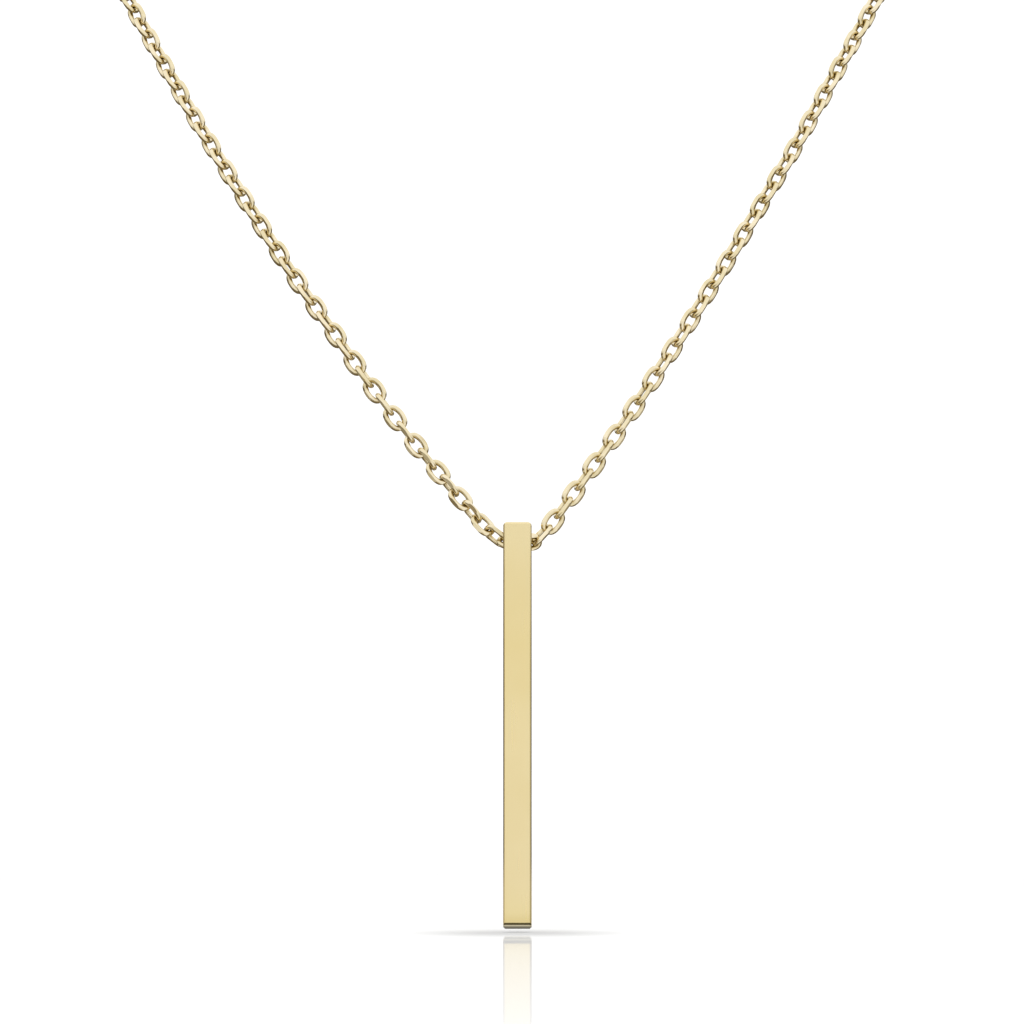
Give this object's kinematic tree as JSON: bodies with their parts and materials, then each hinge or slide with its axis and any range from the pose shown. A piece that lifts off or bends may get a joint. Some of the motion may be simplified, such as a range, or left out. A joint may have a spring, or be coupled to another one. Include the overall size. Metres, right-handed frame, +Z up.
{
  "type": "bar pendant on its necklace chain",
  "caption": "Slim square gold bar pendant hanging from a fine cable chain that is worn round the neck and closes with a ring clasp at the nape.",
  "frame": {"origin": "the nape, in the middle of the closed clasp, on the chain's middle line", "axes": "+Z up, the front with the bar towards -Y, +X to the right seen from the front"},
  "size_m": [0.1182, 0.1219, 0.1352],
  "materials": {
    "bar_gold": "satin yellow gold with a faint upright grain",
    "chain_gold": "polished yellow gold",
    "clasp_gold": "polished yellow gold"
  },
  "bodies": {
    "chain": {"chain_front": "chain_gold", "chain_back": "chain_gold", "clasp": "clasp_gold"},
    "bar": {"bar": "bar_gold"}
  },
  "joints": [
    {"name": "bar_swing", "type": "hinge", "parent": "chain", "child": "bar", "pos_m": [0, -0.12, -0.104], "axis": [1, 0, 0], "range_deg": [-90, 90]}
  ]
}
